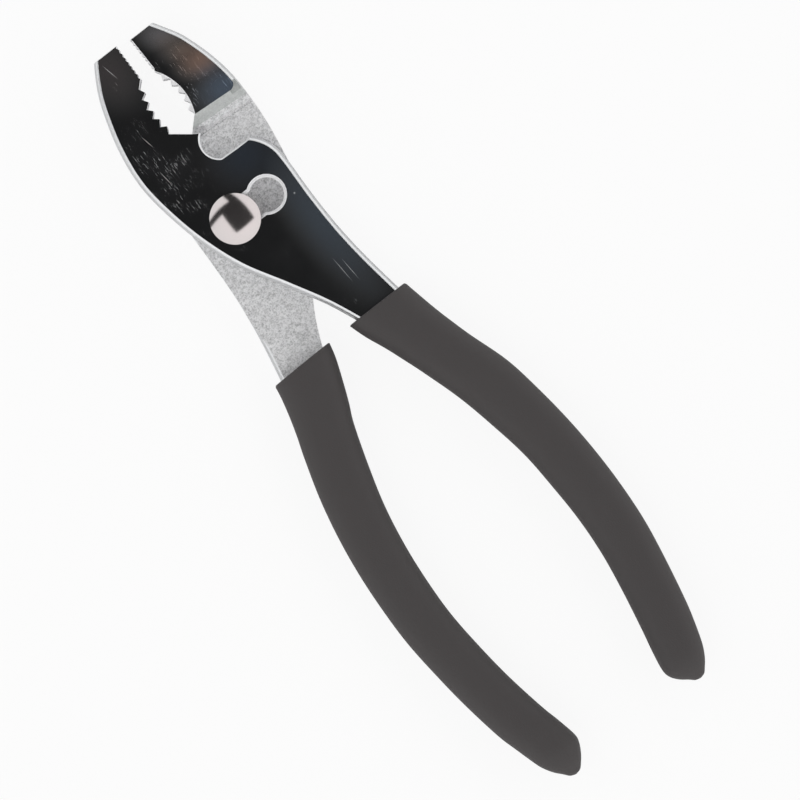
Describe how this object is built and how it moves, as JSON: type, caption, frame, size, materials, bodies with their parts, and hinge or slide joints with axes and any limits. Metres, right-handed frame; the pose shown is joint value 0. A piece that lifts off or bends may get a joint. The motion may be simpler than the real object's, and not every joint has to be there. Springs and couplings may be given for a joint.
{
  "type": "slip joint pliers",
  "caption": "Slip joint pliers: crossed polished steel forgings with toothed jaws, a domed pivot bolt that shifts along a slot, and dark dipped grips on curved handles.",
  "frame": {"origin": "on the axis of the pivot bolt, at the bolt's end face, in the plane that the tool lies on", "axes": "+Y towards the jaw tips, +X towards the slot's free hole, +Z out of the bolt's domed head"},
  "size_m": [0.0632, 0.2029, 0.0129],
  "materials": {
    "forged_steel": "polished faces, satin forged sides and finely blasted laps and shanks",
    "bolt_steel": "bright turned and plated",
    "dipped_grip": "matte dipped vinyl, very dark grey"
  },
  "bodies": {
    "front": {"front_half": "forged_steel", "front_grip": "dipped_grip"},
    "bolt": {"pivot_bolt": "bolt_steel"},
    "nut": {"pivot_nut": "bolt_steel"},
    "rear": {"rear_half": "forged_steel", "rear_grip": "dipped_grip"}
  },
  "joints": [
    {"name": "pivot_shift", "type": "slide", "parent": "front", "child": "bolt", "axis": [1, 0, 0], "range_m": [0, 0.0094]},
    {"name": "shift_swing", "type": "hinge", "parent": "bolt", "child": "nut", "pos_m": [0, 0, 0], "axis": [0, 0, 1], "range_deg": [-9.6, 0]},
    {"name": "handle_hinge", "type": "hinge", "parent": "nut", "child": "rear", "pos_m": [0, 0, 0], "axis": [0, 0, 1], "range_deg": [-40, 3.85]}
  ],
  "couplings": [
    {"joint": "shift_swing", "follows": "pivot_shift", "rad_per_m": -17.6}
  ]
}
